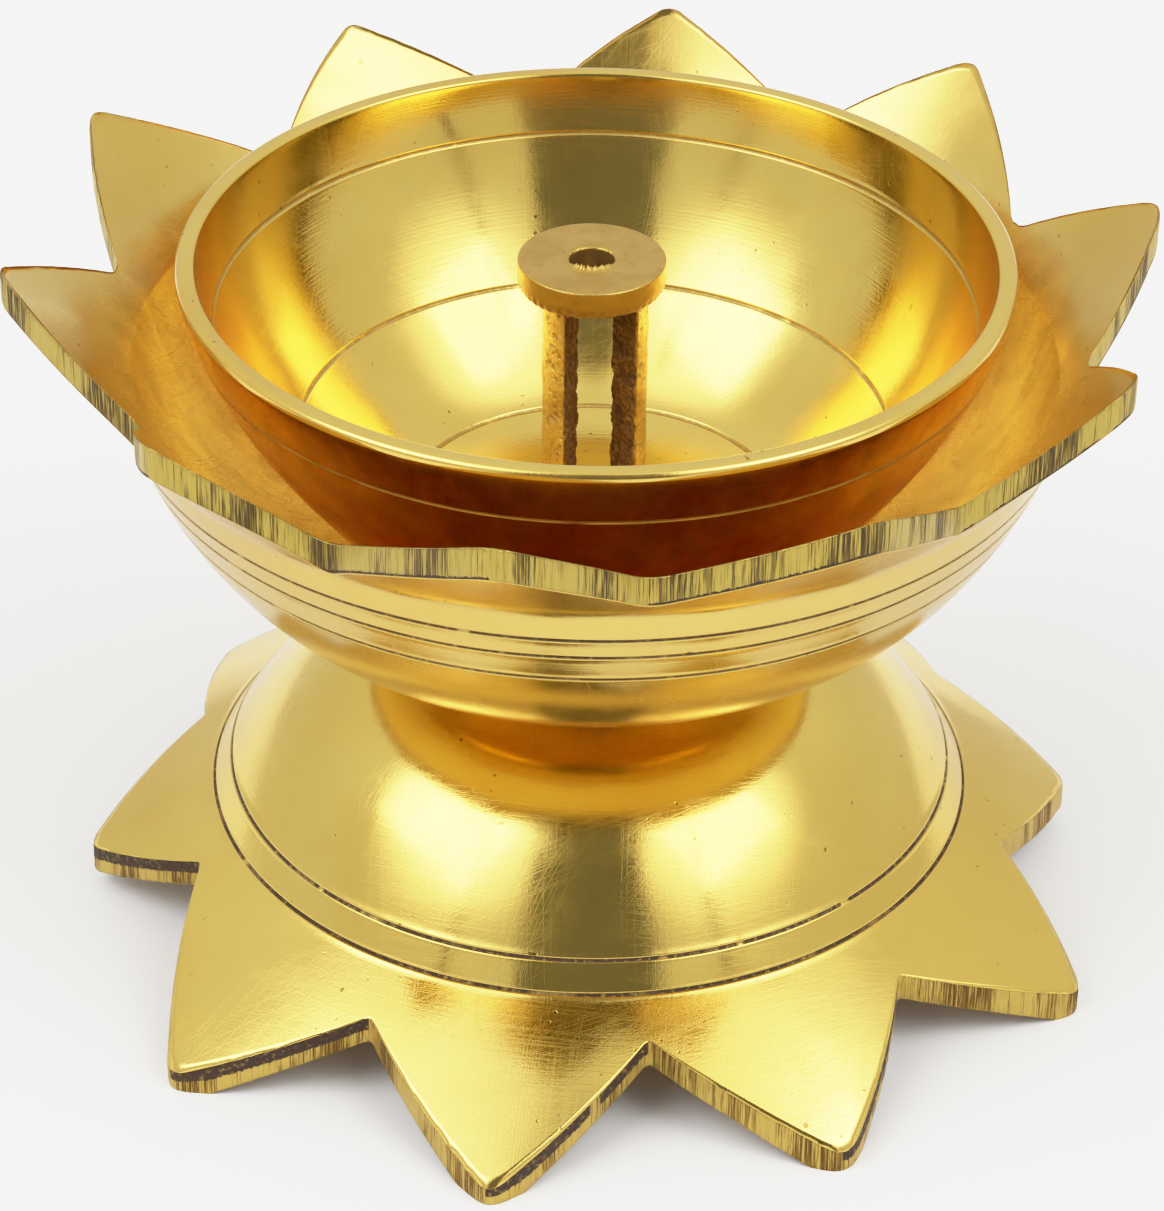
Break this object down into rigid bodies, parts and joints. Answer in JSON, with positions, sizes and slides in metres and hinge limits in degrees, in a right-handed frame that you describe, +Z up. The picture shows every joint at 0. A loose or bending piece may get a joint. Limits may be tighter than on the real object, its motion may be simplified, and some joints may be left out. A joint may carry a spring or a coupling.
{
  "type": "diya oil lamp",
  "caption": "Brass lotus oil lamp: a turned oil bowl with a slotted wick holder sits in a petalled bowl on a domed, petalled foot.",
  "frame": {"origin": "on the floor, on the lamp's axis", "axes": "+Z up along the lamp's axis, +X through the point of one petal of the foot and one of the bowl"},
  "size_m": [0.11, 0.1048, 0.0724],
  "materials": {
    "foot_brass": "polished, fine scratches",
    "lotus_brass": "polished outside, satin petals",
    "oil_brass": "turned and polished",
    "disc_brass": "satin turned face",
    "cast_brass": "as cast, pitted",
    "seal_rubber": "matte",
    "plated_steel": "zinc plated"
  },
  "bodies": {
    "foot": {"foot_base": "foot_brass", "neck_washer": "seal_rubber"},
    "lotus": {"lotus_bowl": "lotus_brass", "spacer_ring": "cast_brass"},
    "oil": {"oil_bowl": "oil_brass", "seal_washer": "seal_rubber"},
    "wick_holder": {"wick_column": "cast_brass", "wick_disc": "disc_brass"},
    "washers": {"nut_washer": "plated_steel", "lock_washer": "plated_steel"},
    "nut": {"hex_nut": "plated_steel"}
  },
  "joints": [
    {"name": "lotus_lift", "type": "slide", "parent": "foot", "child": "lotus", "axis": [0, 0, 1], "range_m": [0, 0.04]},
    {"name": "oil_lift", "type": "slide", "parent": "lotus", "child": "oil", "axis": [0, 0, 1], "range_m": [0, 0.052]},
    {"name": "holder_lift", "type": "slide", "parent": "oil", "child": "wick_holder", "axis": [0, 0, 1], "range_m": [0, 0.052]},
    {"name": "washers_drop", "type": "slide", "parent": "foot", "child": "washers", "axis": [0, 0, -1], "range_m": [0, 0.005]},
    {"name": "nut_turn", "type": "hinge", "parent": "washers", "child": "nut", "pos_m": [0, 0, 0.025], "axis": [0, 0, -1], "range_deg": [0, 2251]}
  ],
  "couplings": [
    {"joint": "nut_turn", "follows": "washers_drop", "rad_per_m": 7854}
  ]
}
